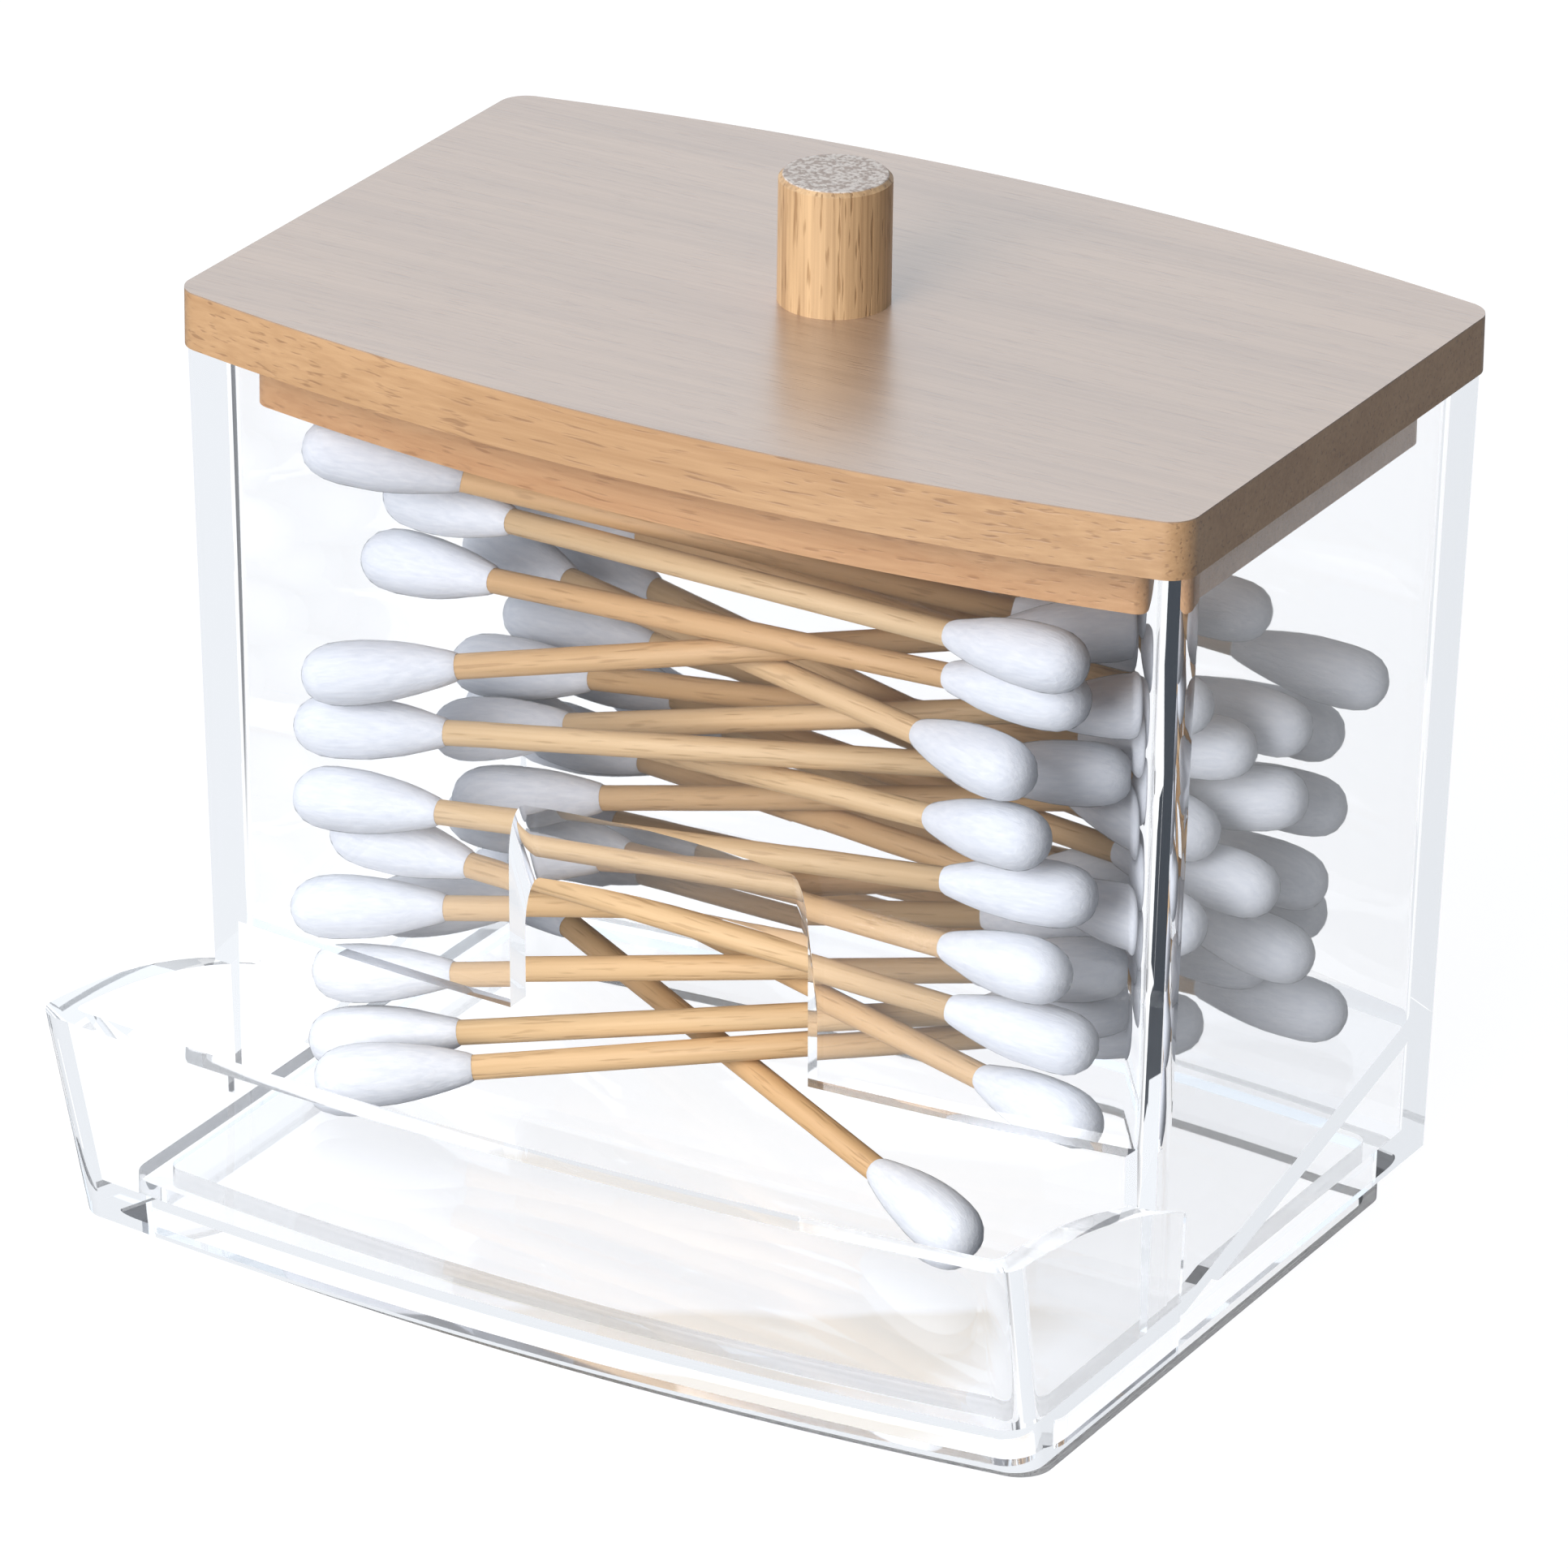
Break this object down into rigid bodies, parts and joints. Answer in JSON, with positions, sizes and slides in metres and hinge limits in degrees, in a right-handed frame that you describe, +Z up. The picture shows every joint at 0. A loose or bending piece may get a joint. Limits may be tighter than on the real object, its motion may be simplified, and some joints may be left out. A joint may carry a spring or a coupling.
{
  "type": "cotton swab holder",
  "caption": "Clear box with a bowed front, a low tray that swabs roll out into, a finger notch, a lift-off wooden lid with a dowel knob, and a pile of wood-stick cotton swabs.",
  "frame": {"origin": "On the table plane under the foot, in the middle of the width and halfway between the tray's front and the lid's back edge", "axes": "+X to the right seen from the front, +Y from the tray towards the back, +Z up"},
  "size_m": [0.094, 0.0848, 0.0903],
  "materials": {
    "clear_plastic": "clear, polished",
    "lid_bamboo": "pale bamboo board, satin, straight fine grain",
    "step_bamboo": "warm brown board, satin",
    "knob_wood": "satin dowel",
    "stick_wood": "raw birch",
    "cotton": "soft white cotton"
  },
  "bodies": {
    "container": {"container": "clear_plastic", "swab_sticks_layer_1": "stick_wood", "swab_left_tips_layer_1": "cotton", "swab_right_tips_layer_1": "cotton", "swab_sticks_layer_2": "stick_wood", "swab_left_tips_layer_2": "cotton", "swab_right_tips_layer_2": "cotton", "swab_sticks_layer_3": "stick_wood", "swab_left_tips_layer_3": "cotton", "swab_right_tips_layer_3": "cotton", "swab_sticks_layer_4": "stick_wood", "swab_left_tips_layer_4": "cotton", "swab_right_tips_layer_4": "cotton", "swab_sticks_layer_5": "stick_wood", "swab_left_tips_layer_5": "cotton", "swab_right_tips_layer_5": "cotton", "swab_sticks_layer_6": "stick_wood", "swab_left_tips_layer_6": "cotton", "swab_right_tips_layer_6": "cotton", "swab_sticks_layer_7": "stick_wood", "swab_left_tips_layer_7": "cotton", "swab_right_tips_layer_7": "cotton"},
    "lid": {"lid_board": "lid_bamboo", "lid_step": "step_bamboo", "lid_knob": "knob_wood"}
  },
  "joints": [
    {"name": "lid_lift", "type": "slide", "parent": "container", "child": "lid", "axis": [0, 0, 1], "range_m": [0, 0.06]}
  ]
}
